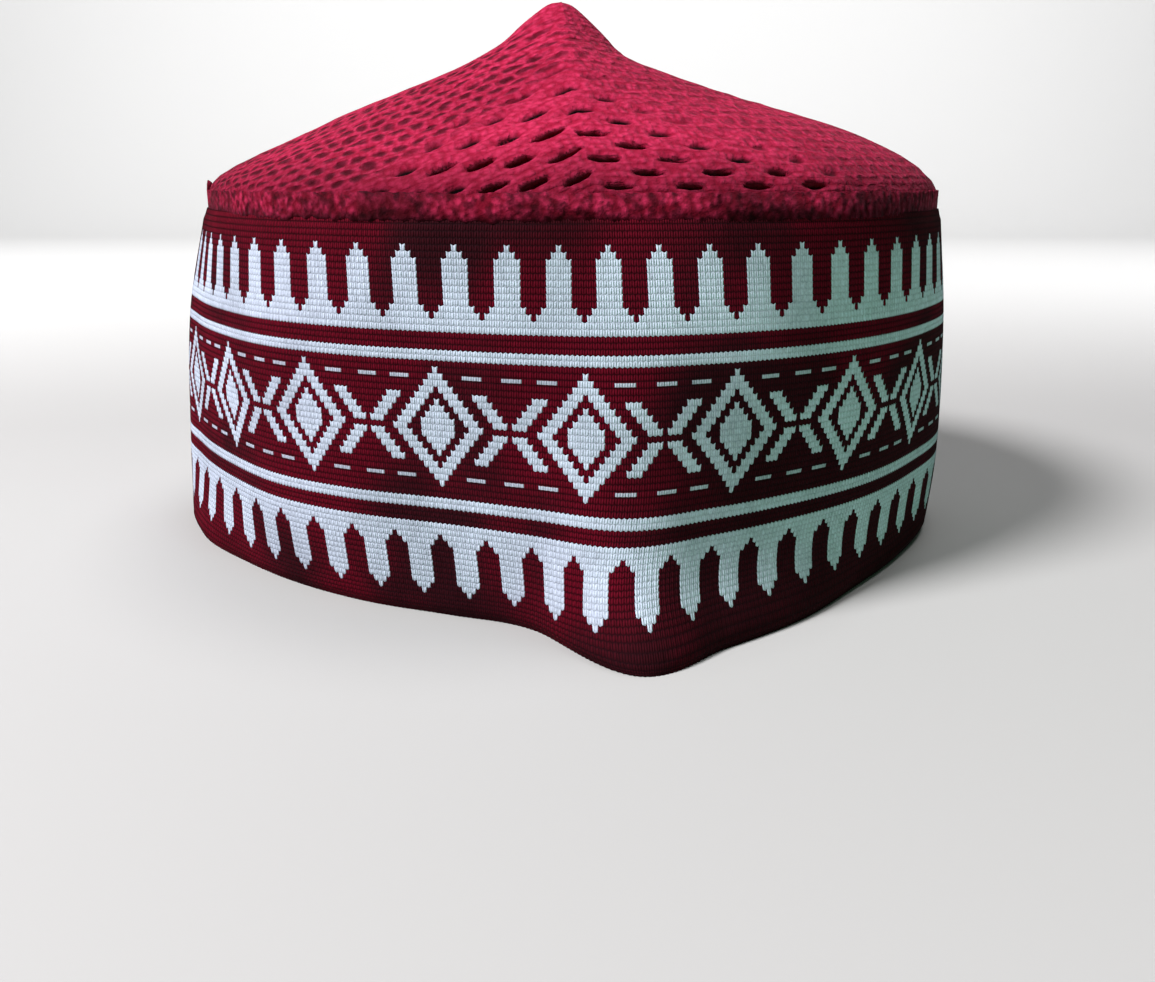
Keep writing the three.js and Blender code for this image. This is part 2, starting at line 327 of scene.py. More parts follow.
class Nodes:
    """Short way to lay out the nodes of one material."""

    def __init__(self, name: str) -> None:
        """Starts an empty material with its shader and output."""
        self.material = bpy.data.materials.new(name)
        self.material.use_nodes = True
        self.tree = self.material.node_tree
        self.tree.nodes.clear()
        self.shader = self.tree.nodes.new("ShaderNodeBsdfPrincipled")
        out = self.tree.nodes.new("ShaderNodeOutputMaterial")
        self.tree.links.new(self.shader.outputs[0], out.inputs[0])

    def put(self, socket: Socket, value: Value) -> None:
        """Links an output to a socket, or sets the socket's own value."""
        if isinstance(value, Socket):
            self.tree.links.new(value, socket)
        else:
            socket.default_value = value

    def math(
        self, operation: str, a: Value, b: Value | None = None, c: Value | None = None
    ) -> Socket:
        """One Math node.

        Args:
            operation: Its operation.
            a: First number or output.
            b: Second, where it has one.
            c: Third, where it has one.

        Returns:
            Its output.
        """
        node = self.tree.nodes.new("ShaderNodeMath")
        node.operation = operation
        for socket, value in zip(node.inputs, (a, b, c)):
            if value is not None:
                self.put(socket, value)
        return node.outputs[0]

    def ramp(self, value: Socket, low: float, high: float, a: float = 0, b: float = 1) -> Socket:
        """Smooth clamp of a value.

        Args:
            value: The value's output.
            low: Value that gives a.
            high: Value that gives b.
            a: Result at low.
            b: Result at high.

        Returns:
            Its output.
        """
        node = self.tree.nodes.new("ShaderNodeMapRange")
        node.interpolation_type = "SMOOTHSTEP"
        for socket, number in zip(node.inputs, (value, low, high, a, b)):
            self.put(socket, number)
        return node.outputs[0]

    def blend(self, factor: Value, a: Value, b: Value, how: str = "MIX") -> Socket:
        """Mix of two colours.

        Args:
            factor: Share of the second colour.
            a: First colour.
            b: Second colour.
            how: The way in which they are mixed.

        Returns:
            Its output.
        """
        node = self.tree.nodes.new("ShaderNodeMix")
        node.data_type = "RGBA"
        node.blend_type = how
        self.put(node.inputs[0], factor)
        self.put(node.inputs[6], a)
        self.put(node.inputs[7], b)
        return node.outputs[2]

    def darken(self, colour: Socket, level: Socket) -> Socket:
        """A colour times a level of grey."""
        grey = self.tree.nodes.new("ShaderNodeCombineColor")
        for socket in grey.inputs[:3]:
            self.put(socket, level)
        return self.blend(1.0, colour, grey.outputs[0], "MULTIPLY")

    def noise(self, scale: float, detail: float) -> Socket:
        """Noise with a scale in ripples to a metre."""
        node = self.tree.nodes.new("ShaderNodeTexNoise")
        node.inputs["Scale"].default_value = scale
        node.inputs["Detail"].default_value = detail
        self.tree.links.new(self.place(), node.inputs["Vector"])
        return node.outputs[0]

    def patches(self, scale: float) -> Socket:
        """Level of colour that changes slowly over a piece."""
        return self.ramp(self.noise(scale, 3), 0.3, 0.7, 0.88, 1.08)

    def loops(self, scale: float) -> Socket:
        """Rounded loops of yarn, 1 on their tops and 0 between them."""
        node = self.tree.nodes.new("ShaderNodeTexVoronoi")
        node.feature = "SMOOTH_F1"
        node.inputs["Scale"].default_value = scale
        node.inputs["Smoothness"].default_value = 0.3
        self.tree.links.new(self.place(), node.inputs["Vector"])
        return self.math("MULTIPLY_ADD", node.outputs["Distance"], -1.3, 1.0)

    def place(self) -> Socket:
        """Object coordinates."""
        return self.tree.nodes.new("ShaderNodeTexCoord").outputs["Object"]

    def parts(self, vector: Socket) -> tuple:
        """The three numbers of a vector."""
        split = self.tree.nodes.new("ShaderNodeSeparateXYZ")
        self.tree.links.new(vector, split.inputs[0])
        return tuple(split.outputs)

    def height(self) -> Socket:
        """Height above the floor."""
        return self.parts(self.place())[2]

    def across(self) -> Socket:
        """Distance to the right of the part's middle."""
        return self.parts(self.place())[0]

    def uv(self, name: str) -> tuple:
        """The two coordinates of a named UV map."""
        node = self.tree.nodes.new("ShaderNodeUVMap")
        node.uv_map = name
        return self.parts(node.outputs[0])[:2]

    def attribute(self, name: str) -> Socket:
        """A named number of the mesh."""
        node = self.tree.nodes.new("ShaderNodeAttribute")
        node.attribute_name = name
        return node.outputs["Fac"]

    def bump(
        self, height: Socket, distance: float, strength: float, below: Socket | None = None
    ) -> Socket:
        """Bump from a height.

        Args:
            height: The height's output, from 0 to 1.
            distance: How high 1 stands.
            strength: How much of the bump shows.
            below: Another bump, under this one.

        Returns:
            Its output.
        """
        node = self.tree.nodes.new("ShaderNodeBump")
        node.inputs["Strength"].default_value = strength
        node.inputs["Distance"].default_value = distance
        self.tree.links.new(height, node.inputs["Height"])
        if below is not None:
            self.tree.links.new(below, node.inputs["Normal"])
        return node.outputs[0]


@dataclass(frozen=True)
class Yarn:
    """Dyed yarn: its lit and shaded colours and how its fuzz catches the light."""

    light: tuple
    dark: tuple
    roughness: float = 0.8
    sheen: float = 0.35
    sheen_tint: tuple = (1.0, 0.6, 0.7, 1.0)
    sheen_roughness: float = 0.5
    gloss: float = 0.04

    def dress(self, nodes: Nodes) -> None:
        """Sets the fixed numbers of the shader."""
        shader = nodes.shader.inputs
        shader["Roughness"].default_value = self.roughness
        shader["Sheen Weight"].default_value = self.sheen
        shader["Sheen Roughness"].default_value = self.sheen_roughness
        shader["Sheen Tint"].default_value = self.sheen_tint
        shader["Specular IOR Level"].default_value = self.gloss


class Zone(Enum):
    """Zones of the chart from the hem up: place in order, and courses."""

    HEM = (0, 5)
    LOWER_TEETH = (1, 13)
    LOWER_STRIPE = (2, 3)
    LOWER_LINE = (3, 2)
    FIELD = (4, 22)
    UPPER_LINE = (5, 2)
    UPPER_STRIPE = (6, 3)
    UPPER_TEETH = (7, 13)
    TOP = (8, 4)

    @property
    def courses(self) -> int:
        """Courses of knitting in the zone."""
        return self.value[1]


@dataclass(frozen=True)
class KnitChart:
    """The band's pattern, stitch by stitch: 1 for white yarn, 0 for maroon."""

    repeat: int = 30
    repeats: int = 19
    tooth: int = 10  # stitches from one tooth to the next
    tooth_starts: tuple = (3, 5)  # first tip of the lower and of the upper teeth
    middle: int = 11  # course of the diamonds' middles
    field_half: int = 10  # courses from there to the plain edges of the field
    core: int = 4  # stitches from a diamond's middle to the end of its core
    ring: tuple = (7, 9)  # the same for the two edges of its ring
    arms: tuple = (13, 15)  # the same for the arms beside it
    arm_courses: tuple = (1, 5)
    dash_course: int = 8
    dash_starts: tuple = (6, 14, 21)
    dash_length: int = 4
    dash_white: float = 0.8  # under 0.9 for the thin stitches of the dashes

    @property
    def wales(self) -> int:
        """Stitches round the band."""
        return self.repeat * self.repeats

    def colours(self) -> Array:
        """The whole chart, a row for each course from the hem up."""
        plain = lambda course, x: 0 * x
        line = lambda course, x: 0 * x + 1
        lower, upper = self.tooth_starts
        tips = Zone.LOWER_TEETH.courses - 1
        zones = {
            Zone.HEM: plain,
            Zone.LOWER_TEETH: lambda course, x: self.teeth(tips - course, x - lower),
            Zone.LOWER_STRIPE: plain,
            Zone.LOWER_LINE: line,
            Zone.FIELD: self.diamonds,
            Zone.UPPER_LINE: line,
            Zone.UPPER_STRIPE: plain,
            Zone.UPPER_TEETH: lambda course, x: self.teeth(course, x - upper),
            Zone.TOP: plain,
        }
        x = np.arange(self.wales)
        rows = []
        for zone, draw in zones.items():
            rows += [draw(course, x) for course in range(zone.courses)]
        return np.array(rows, float)

    def teeth(self, course: int, x: Array) -> Array:
        """One course of pointed teeth.

        Args:
            course: Courses from their solid base towards their tips.
            x: Stitches to the right of a tip.

        Returns:
            1 for white and 0 for maroon, for each stitch.
        """
        half = self.tooth // 2
        off = np.abs((x + half) % self.tooth - half)
        reach = {0: half, 1: half, 2: half - 1, 3: half - 2, 11: 1, 12: 0}.get(course, 2)
        return (off <= reach).astype(float)

    def diamonds(self, course: int, x: Array) -> Array:
        """One course of the field of diamonds, arms and dashes.

        Args:
            course: Courses from the foot of the field.
            x: Stitches to the right of a diamond's middle.

        Returns:
            1 for white, 0 for maroon and a share for the dashes, for each stitch.
        """
        up = abs(course - self.middle)
        half = self.repeat // 2
        off = np.abs((x + half) % self.repeat - half)
        far = off + up
        white = (far <= self.core) & (off < self.core)
        white |= (far >= self.ring[0]) & (far <= self.ring[1])
        if self.arm_courses[0] <= up <= self.arm_courses[1]:
            white |= (far >= self.arms[0]) & (far <= self.arms[1]) & (off < half)
        white = white.astype(float) * (up < self.field_half)
        if up == self.dash_course:
            run = x % self.repeat
            for start in self.dash_starts:
                white[(run >= start) & (run < start + self.dash_length)] = self.dash_white
        return white


@dataclass(frozen=True)
class Wales:
    """Edges of the legs of the stitches round the band, two for each stitch.

    Attributes:
        turn: Fine angles in degrees.
        path: Distance round from the front at each of them.
        step: Distance from one edge to the next.
        numbers: Numbers of the edges, from 0 at the front.
    """

    turn: Array
    path: Array
    step: float
    numbers: Array

    @property
    def run(self) -> Array:
        """Distance round from the front to each edge."""
        return self.numbers * self.step

    @property
    def between(self) -> Array:
        """Whether an edge lies between two stitches, and not in the middle of one."""
        return self.numbers % 2 == 0

    def angles(self, run: Array) -> Array:
        """Angles at distances round from the front."""
        return np.interp(run, self.path, self.turn)


@dataclass
class KnitBand:
    """Patterned band of fine knitting, with its turned hem and plain inner layer."""

    plan: CapPlan
    chart: KnitChart = field(default_factory=KnitChart)
    rib: float = 0.16 * MM  # how far the face lies back between two stitches
    top_turn: float = 0.45 * MM  # how far the top turns in
    top_from: tuple = (-2.4 * MM, -0.4 * MM)  # where it does, from the top of the band
    tilt: float = 0.2  # shares of a course between the two ends of a leg
    straight: tuple = (26, 27, 42, 43)  # edges of the courses with dashes
    middle_run: float = 8.1 * MM  # from the front to a diamond's middle
    drift_fade: tuple = (6 * MM, 36 * MM)  # heights between which the lean of the wales ends
    rise_right: float = 2.4 * MM
    rise_left: float = 2.2 * MM
    rise_fade: tuple = (7.5 * MM, 24 * MM)  # heights between which a deeper hem's rise ends
    hem_heights: tuple = (0.0, 0.5 * MM, 1.1 * MM)
    heights: tuple = (5.0, 20.8, 24.0, 26.2, 53.5, 55.5, 58.9, 74.6, 79.4)  # zones' tops in mm
    inside_heights: tuple = (79.4, 74.0, 55.0, 35.0, 15.0, 3.0, 0.0)  # in mm
    levels: int = 44  # parts of the height between which radii are read

    def courses(self) -> Array:
        """Height of the foot of each course, from the hem's turn to the top of the band."""
        counts = np.cumsum([0] + [zone.courses for zone in Zone])
        edges = np.array([0.0, *self.heights]) * MM
        return np.interp(np.arange(counts[-1] + 1), counts, edges)

    def drift(self, run: Array) -> Array:
        """How far the wales lean to the right at the tips of the lower teeth, along the ring."""
        return np.interp(run, DRIFT[:, 0] * MM, DRIFT[:, 1] * MM)

    def hem_rise(self, angle: Array) -> Array:
        """How much deeper the plain hem is than at the front left."""
        side = wrap(angle)
        right = smooth(0, 14, side) * (1 - smooth(110, 150, side))
        far_left = smooth(50, 85, -side) * (1 - smooth(110, 150, -side))
        return self.rise_right * right + self.rise_left * far_left

    def wales(self) -> Wales:
        """Divides the ring at half the band's height into even legs of stitches."""
        turn = np.linspace(-400, 400, 16001)
        path = lengths(self.plan.band(turn, np.array([BAND_HEIGHT / 2]))[0])
        path -= np.interp(0, turn, path)
        left, right = np.interp([-180, 180], turn, path)
        count = self.chart.wales * 2
        step = (right - left) / count
        first = math.ceil(left / step)
        return Wales(turn, path, step, np.arange(first, first + count))

    def face(self, angle: Array, height: Array) -> Array:
        """Points of the outer face where each angle has its own height."""
        shares = np.linspace(0, 1, self.levels + 1)
        r = np.array([self.plan.radius(angle, np.array([share]))[0] for share in shares])
        at = height / BAND_HEIGHT * self.levels
        low = np.clip(at.astype(int), 0, self.levels - 1)
        c = np.arange(len(angle))
        return turned(r[low, c] + (r[low + 1, c] - r[low, c]) * (at - low), angle, height)

    def ring(self, wales: Wales, height: float, course: float) -> Array:
        """Points of the outer layer along the foot of a course.

        Args:
            wales: Edges of the legs.
            height: Height of the foot where the hem is shallow.
            course: Number of the course from the hem up, under 0 in the hem's turn.

        Returns:
            A point for each edge.
        """
        edges = self.courses()
        low = 1 - smooth(*self.drift_fade, height)
        angle = wales.angles(wales.run + low * self.drift(wales.run))
        lift = self.hem_rise(angle) * (1 - smooth(*self.rise_fade, height))
        lean = self.tilt * np.diff(edges).mean() * np.where(wales.between, 0.5, -0.5)
        lean = lean * smooth(0.5, 3.0, course) * smooth(0, 2, len(edges) - 1 - course)
        if course in self.straight:
            lean = 0 * lean
        z = np.minimum(height + lift * smooth(1.0, 5.0, course) + lean, BAND_HEIGHT)
        tuck = HEM_TURN * (1 - smooth(0, HEM_DEPTH, height)) ** 1.5
        tuck += self.top_turn * smooth(*self.top_from, height - BAND_HEIGHT)
        inward = self.plan.band_inward(angle, np.array([height]))[0]
        return self.face(angle, z) + inward * (tuck + self.rib * wales.between)[:, None]

    def build(self) -> bpy.types.Object:
        """Makes the closed band.

        Returns:
            The finished object.
        """
        wales = self.wales()
        edges = self.courses()
        heights = np.concatenate([self.hem_heights, edges[2:]])
        course = np.concatenate([[-1.0, 0.0, 1.0], np.arange(2, len(edges))])
        outer = np.array([self.ring(wales, h, at) for h, at in zip(heights, course)])
        even = wales.angles(wales.run)
        inside = np.array(self.inside_heights) * MM
        inner = self.plan.band(even, inside) + self.plan.band_inward(even, inside) * BAND_WALL
        rings = np.concatenate([outer, inner])
        faces = grid_faces(len(rings), len(even), closed_rows=True)
        band = make_mesh("patterned_band", rings.reshape(-1, 3), faces.tolist())
        self.colour(band, wales, course, len(rings))
        self.unwrap(band, wales, course, len(rings))
        return band

    def colour(self, band: bpy.types.Object, wales: Wales, course: Array, rows: int) -> None:
        """Gives each leg of a stitch its yarn, the yarn beside it and a tone of its own.

        Args:
            band: The band.
            wales: Edges of the legs.
            course: Numbers of the courses of the outer layer's rings.
            rows: Number of rings in both layers.
        """
        chart = self.chart.colours()
        white = np.zeros((rows, len(wales.numbers)))
        beside = np.zeros_like(white)
        centre = int(round((self.middle_run / wales.step - 1) / 2)) * 2
        wale = (wales.numbers - centre) // 2
        side_wale = wale + np.where(wales.between, -1, 1)
        for row, at in enumerate(course[:-1].astype(int)):
            if at >= 0:
                white[row] = chart[at, wale % self.chart.wales]
                beside[row] = chart[at, side_wale % self.chart.wales]
        tone = np.random.default_rng(7).normal(0, 1, white.shape)
        add_value(band.data, "white_yarn", "FACE", white)
        add_value(band.data, "white_beside", "FACE", beside)
        add_value(band.data, "stitch_tone", "FACE", tone)

    def unwrap(self, band: bpy.types.Object, wales: Wales, course: Array, rows: int) -> None:
        """Lays out a stitch map: wales across and courses up, each as a share of 1.

        Args:
            band: The band.
            wales: Edges of the legs.
            course: Numbers of the courses of the outer layer's rings.
            rows: Number of rings in both layers.
        """
        count = len(wales.numbers)
        r = np.arange(rows)[:, None]
        c = np.arange(count)[None, :]
        v = np.concatenate([course, np.linspace(course[-1], -1, rows - len(course))])
        v = np.append(v, -1.0)
        grid = np.broadcast_to(c + wales.numbers[0] % 2, (rows, count))
        u0, u1 = grid, grid + 1
        v0 = np.broadcast_to(v[r], (rows, count))
        v1 = np.broadcast_to(v[r + 1], (rows, count))
        us = np.stack([u0, u1, u1, u0], -1) / count
        vs = np.stack([v0, v0, v1, v1], -1) / len(self.courses())
        add_uv(band.data, "stitches", np.stack([us, vs], -1).reshape(-1, 2))


@dataclass(frozen=True)
class JacquardKnit:
    """Two-colour fine knitting: maroon and cool white yarn in small V stitches."""

    wales: int
    courses: int
    bite: float = 0.13  # how far a stitch's top leans over the next wale
    maroon: Yarn = Yarn((0.112, 0.0024, 0.011, 1), (0.018, 0.0004, 0.0025, 1), 0.85, 0.0)
    white: Yarn = Yarn((0.485, 0.545, 0.67, 1), (0.36, 0.405, 0.50, 1))
    deep: tuple = (0.012, 0.003, 0.005, 1)  # deepest maroon: where the dye took most, and painted shade low at the right
    fuzz: float = 2600.0  # ripples of the fuzz to a metre
    patch: float = 60.0  # ripples of the slow change of colour to a metre
    dye: float = 28.0  # ripples of the patchy dye to a metre
    tone: float = 0.05  # how much each stitch's own tone counts

    def shown(self, n: Nodes, u: Socket, row: Socket, plump: Socket) -> Socket:
        """Which yarn shows, with the ends of a leg over or under the next stitch.

        Args:
            n: The material's nodes.
            u: Share of the way round.
            row: Share of the way up the course.
            plump: How full the leg is there.

        Returns:
            1 for white and 0 for maroon.
        """
        whole = n.math("FRACT", n.math("MULTIPLY", u, float(self.wales)))
        outward = n.math("MULTIPLY", n.math("ABSOLUTE", n.math("SUBTRACT", whole, 0.5)), 2.0)
        own, beside = n.attribute("white_yarn"), n.attribute("white_beside")
        rise = n.math("MULTIPLY_ADD", row, 2.0, -1.0)
        side = n.math("MULTIPLY_ADD", own, -2.0, 1.0)
        reach = n.math("MULTIPLY_ADD", n.math("MULTIPLY", rise, side), self.bite, outward)
        step = n.math("ABSOLUTE", n.math("SUBTRACT", own, beside))
        differs = n.math("GREATER_THAN", step, 0.9)
        over = n.math("MULTIPLY", n.math("GREATER_THAN", reach, 1.0), differs)
        thin = n.math("MAXIMUM", n.math("GREATER_THAN", own, 0.9), n.ramp(plump, 0.5, 0.75))
        own = n.math("MULTIPLY", own, thin)
        return n.math("MULTIPLY_ADD", over, n.math("SUBTRACT", beside, own), own)

    def dyed_and_shaded(self, n: Nodes, shade: Socket) -> Socket:
        """Maroon with patchy dye and painted shade, deepest low at the right of the crease."""
        maroon = n.blend(shade, self.maroon.dark, self.maroon.light)
        # painted shade: the maroon deepens low on the band and right of the crease, the side turned
        # from the key light; the noise adds patchy dye
        low = n.ramp(n.height(), 62 * MM, 40 * MM)
        right = n.math("MULTIPLY", n.ramp(n.across(), 0, 35 * MM), low)
        dye_and_shade = n.math("MULTIPLY_ADD", right, -0.24, n.noise(self.dye, 2))
        return n.blend(n.ramp(dye_and_shade, 0.58, 0.34, 0.0, 0.8), maroon, self.deep)

    def material(self) -> bpy.types.Material:
        """Builds the material."""
        n = Nodes("jacquard_knit")
        u, v = n.uv("stitches")
        half = n.math("FRACT", n.math("MULTIPLY", u, self.wales * 2.0))
        leg = n.math("SINE", n.math("MULTIPLY", half, math.pi))
        row = n.math("FRACT", n.math("MULTIPLY", v, float(self.courses)))
        plump = n.math("SINE", n.math("MULTIPLY", row, math.pi))
        stitch = n.math("MULTIPLY", n.math("POWER", leg, 0.6), n.math("POWER", plump, 0.5))
        shade = n.ramp(stitch, 0.15, 0.95)
        white = n.blend(shade, self.white.dark, self.white.light)
        colour = n.blend(self.shown(n, u, row, plump), self.dyed_and_shaded(n, shade), white)
        tone = n.math("MULTIPLY", n.attribute("stitch_tone"), self.tone)
        fuzz = n.noise(self.fuzz, 3)
        level = n.math("ADD", tone, n.patches(self.patch))
        level = n.math("ADD", level, n.ramp(fuzz, 0.3, 0.7, -0.1, 0.1))
        n.put(n.shader.inputs["Base Color"], n.darken(colour, level))
        first = n.bump(stitch, 0.3 * MM, 0.7)
        n.put(n.shader.inputs["Normal"], n.bump(fuzz, 0.15 * MM, 0.5, first))
        self.maroon.dress(n)
        return n.material


@dataclass
class JoinSeam:
    """Lumpy linked ridge between band and crown."""

    plan: CapPlan
    columns: int = 1400
    around: int = 16
    out: float = 1.3 * MM  # from the middle of the wall
    slim: float = 0.42  # share of that which is missing at the sides
    skirt: float = 1.7 * MM  # how far it hangs over the top of the band
    lip: float = 1.7 * MM  # how far it rolls up over the foot of the crown
    stitches: int = 230  # even lumps round the cap
    even: float = 0.1  # share of the even lumps, and then of the ragged ones and the slow ones
    ragged: float = 0.3
    slow: float = 0.16
    knot_angle: float = -87.0  # end of the linking
    knot_width: float = 1.7  # degrees
    knot_rise: float = 3.2 * MM

    def wander(self, seed: int, width: int) -> Array:
        """Smooth random run round the ring, within -1 and 1.

        Args:
            seed: Seed of the draws.
            width: Columns over which they are smoothed.

        Returns:
            A number for each column.
        """
        values = np.random.default_rng(seed).normal(0, 1, self.columns)
        wide = np.convolve(np.tile(values, 3), np.hanning(width + 2)[1:-1], "same")
        wide = wide[self.columns : 2 * self.columns]
        return wide / np.abs(wide).max()

    def build(self) -> bpy.types.Object:
        """Makes the ridge as a closed ring with uneven lumps.

        Returns:
            The finished object.
        """
        top = np.array([BAND_HEIGHT])
        angle = even_angles(lambda a: self.plan.band(a, top)[0], self.columns, 0.0)
        base = self.plan.band(angle, top)[0]
        inward = self.plan.band_inward(angle, top)[0]
        run = np.arange(self.columns) / self.columns * self.stitches * 2 * math.pi
        run = run + 2.5 * self.wander(5, 41)
        knot = np.exp(-((wrap(angle - self.knot_angle) / self.knot_width) ** 2))
        up = np.array([0.0, 0.0, 1.0])
        middle = SEAM_FOOT + SEAM_HEIGHT / 2 - BAND_HEIGHT
        hem = self.wander(11, 7)
        side = smooth(40, 75, np.abs(wrap(angle)))
        out = self.out * (1 - self.slim * side)
        rings = []
        for k in range(self.around):
            turn = 2 * math.pi * k / self.around
            lumps = self.even * np.sin(run + 1.5 * math.sin(turn))
            lumps = (lumps + self.ragged * self.wander(20 + k // 2, 9)) * (1 - 0.6 * side)
            lump = 0.94 + lumps + self.slow * self.wander(3, 61)
            level, rise = (
                math.copysign(abs(share) ** 0.75, share)
                for share in (math.cos(turn), math.sin(turn))
            )
            point = base + inward * (BAND_WALL / 2 - out * level * (0.6 + 0.4 * lump))[:, None]
            face = max(level, 0)
            if rise > 0:
                reach = self.lip * face**2 * (0.7 + 0.6 * lump) + self.knot_rise * rise * knot
            else:
                reach = -self.skirt * face * (0.35 + 0.65 * lump + 0.35 * hem)
            rings.append(point + up * (middle + SEAM_HEIGHT * 0.52 * rise + reach)[:, None])
        faces = grid_faces(self.around, self.columns, closed_rows=True)
        return make_mesh("linked_seam", np.array(rings).reshape(-1, 3), faces.tolist())


@dataclass(frozen=True)
class CrimsonWool:
    """Thick fuzzy crimson yarn, in beads of knitting where it has fabric coordinates."""

    name: str
    yarn: Yarn
    openwork: bool = False
    grain: float = 1000.0  # ripples of the yarn to a metre
    loop: float = 640.0  # loops of yarn to a metre
    patch: float = 45.0  # ripples of the slow change of colour to a metre
    dash_count: float = 2.8  # closed eyelets to an open one along the row
    dash_rows: float = 1.3  # rows of closed eyelets to a row of open ones
    dash_size: tuple = (0.38, 0.3)

    def beads(self, n: Nodes) -> Socket:
        """Height of the knitted beads, from 0 to 1."""
        wobble = n.math("MULTIPLY_ADD", n.noise(300, 2), 1.6, -0.8)
        course = n.math("MULTIPLY_ADD", n.attribute("row"), 2 * math.pi, wobble)
        shift = n.math("MULTIPLY", n.noise(420, 2), 3.0)
        wale = n.math("MULTIPLY_ADD", n.attribute("place"), 8 * math.pi, shift)
        a = n.math("ABSOLUTE", n.math("SINE", course))
        b = n.math("ABSOLUTE", n.math("SINE", wale))
        return n.math("MULTIPLY", n.math("POWER", a, 0.7), n.math("MULTIPLY_ADD", b, 0.6, 0.4))

    def dashes(self, n: Nodes) -> Socket:
        """Short closed eyelets in staggered rows, 1 in their middles."""
        slip = n.math("MULTIPLY_ADD", n.noise(260, 2), 0.9, -0.45)
        row = n.math("MULTIPLY_ADD", n.attribute("row"), self.dash_rows, slip)
        slip = n.math("MULTIPLY_ADD", n.noise(200, 2), 0.9, -0.45)
        place = n.math("MULTIPLY_ADD", n.attribute("place"), self.dash_count, slip)
        near = None
        for start in (0.0, 0.5):
            rise = n.math("FRACT", n.math("MULTIPLY_ADD", row, 0.5, 0.5 + start))
            run = n.math("FRACT", n.math("ADD", place, start))
            rise = n.math("DIVIDE", n.math("SUBTRACT", rise, 0.5), self.dash_size[1] / 2)
            run = n.math("DIVIDE", n.math("SUBTRACT", run, 0.5), self.dash_size[0])
            off = n.math("ADD", n.math("MULTIPLY", rise, rise), n.math("MULTIPLY", run, run))
            near = off if near is None else n.math("MINIMUM", near, off)
        return n.math("MULTIPLY", n.ramp(near, 1.7, 0.0), n.attribute("closed"))

    def shade(self, n: Nodes, level: Socket) -> Socket:
        """Painted shade: deepens the level in the eyelets and towards the crown's foot, and for the
        seam towards its foot and in its pits.

        Args:
            n: The material's nodes.
            level: Level of the colour.

        Returns:
            The deeper level.
        """
        if self.openwork:
            # painted shade: darker towards the crown's foot
            foot = n.ramp(n.height(), CROWN_FOOT, CROWN_FOOT + 13 * MM, 0.55, 1.0)
            # painted shade in the eyelets, by their depth
            depth = n.math("MULTIPLY_ADD", n.noise(700, 3), 0.5, -0.25)
            depth = n.math("MULTIPLY", n.attribute("eyelet_depth"), n.math("ADD", depth, 1.0))
            hollow = n.ramp(depth, 0.08, 0.7, 1.0, 0.0)
            return n.math("MULTIPLY", level, n.math("MULTIPLY", foot, hollow))
        # painted shade: darker towards the seam's foot and in its pits; the slow patches are random
        # tone
        low = n.ramp(n.height(), SEAM_FOOT - 1.6 * MM, SEAM_FOOT + 1.4 * MM, 0.32, 0.8)
        pits = n.ramp(n.noise(520, 3), 0.34, 0.56, 0.35, 1.0)
        low = n.math("MULTIPLY", low, n.ramp(n.noise(70, 2), 0.38, 0.6, 0.5, 1.15))
        return n.math("MULTIPLY", level, n.math("MULTIPLY", low, pits))

    def material(self) -> bpy.types.Material:
        """Builds the material."""
        n = Nodes(self.name)
        grain = n.noise(self.grain, 4)
        fine = n.noise(self.grain * 2.6, 3)
        height = n.math("MULTIPLY_ADD", n.loops(self.loop), 0.45, n.math("MULTIPLY", grain, 0.55))
        level = self.shade(n, n.patches(self.patch))
        if self.openwork:
            height = n.math("MULTIPLY_ADD", self.beads(n), 0.2, n.math("MULTIPLY", height, 0.85))
        # lit colour on the loops' tops, painted shade between them
        colour = n.blend(n.ramp(height, 0.25, 0.78), self.yarn.dark, self.yarn.light)
        first = n.bump(height, 0.9 * MM, 0.85)
        if self.openwork:
            dashes = self.dashes(n)
            # painted shade in the closed eyelets
            level = n.math("MULTIPLY", level, n.math("MULTIPLY_ADD", dashes, -0.8, 1.0))
            first = n.bump(n.math("MULTIPLY", dashes, -1.0), 0.6 * MM, 0.7, first)
        n.put(n.shader.inputs["Base Color"], n.darken(colour, level))
        n.put(n.shader.inputs["Normal"], n.bump(fine, 0.2 * MM, 0.7, first))
        self.yarn.dress(n)
        return n.material


@dataclass(frozen=True)
class Fabric:
    """Knitting of the crown, in grids of shares of the way in by angles.

    Attributes:
        angle: Degrees of the grids' columns.
        inward: Shares of the way in of the grids' rows.
        place: Place along the row of knitting, in eyelets.
        row: Number of the row of knitting.
        opened: How far the eyelets stand open.
        ease: How much relief the closed eyelets keep.
    """

    angle: Array
    inward: Array
    place: Array
    row: Array
    opened: Array
    ease: Array


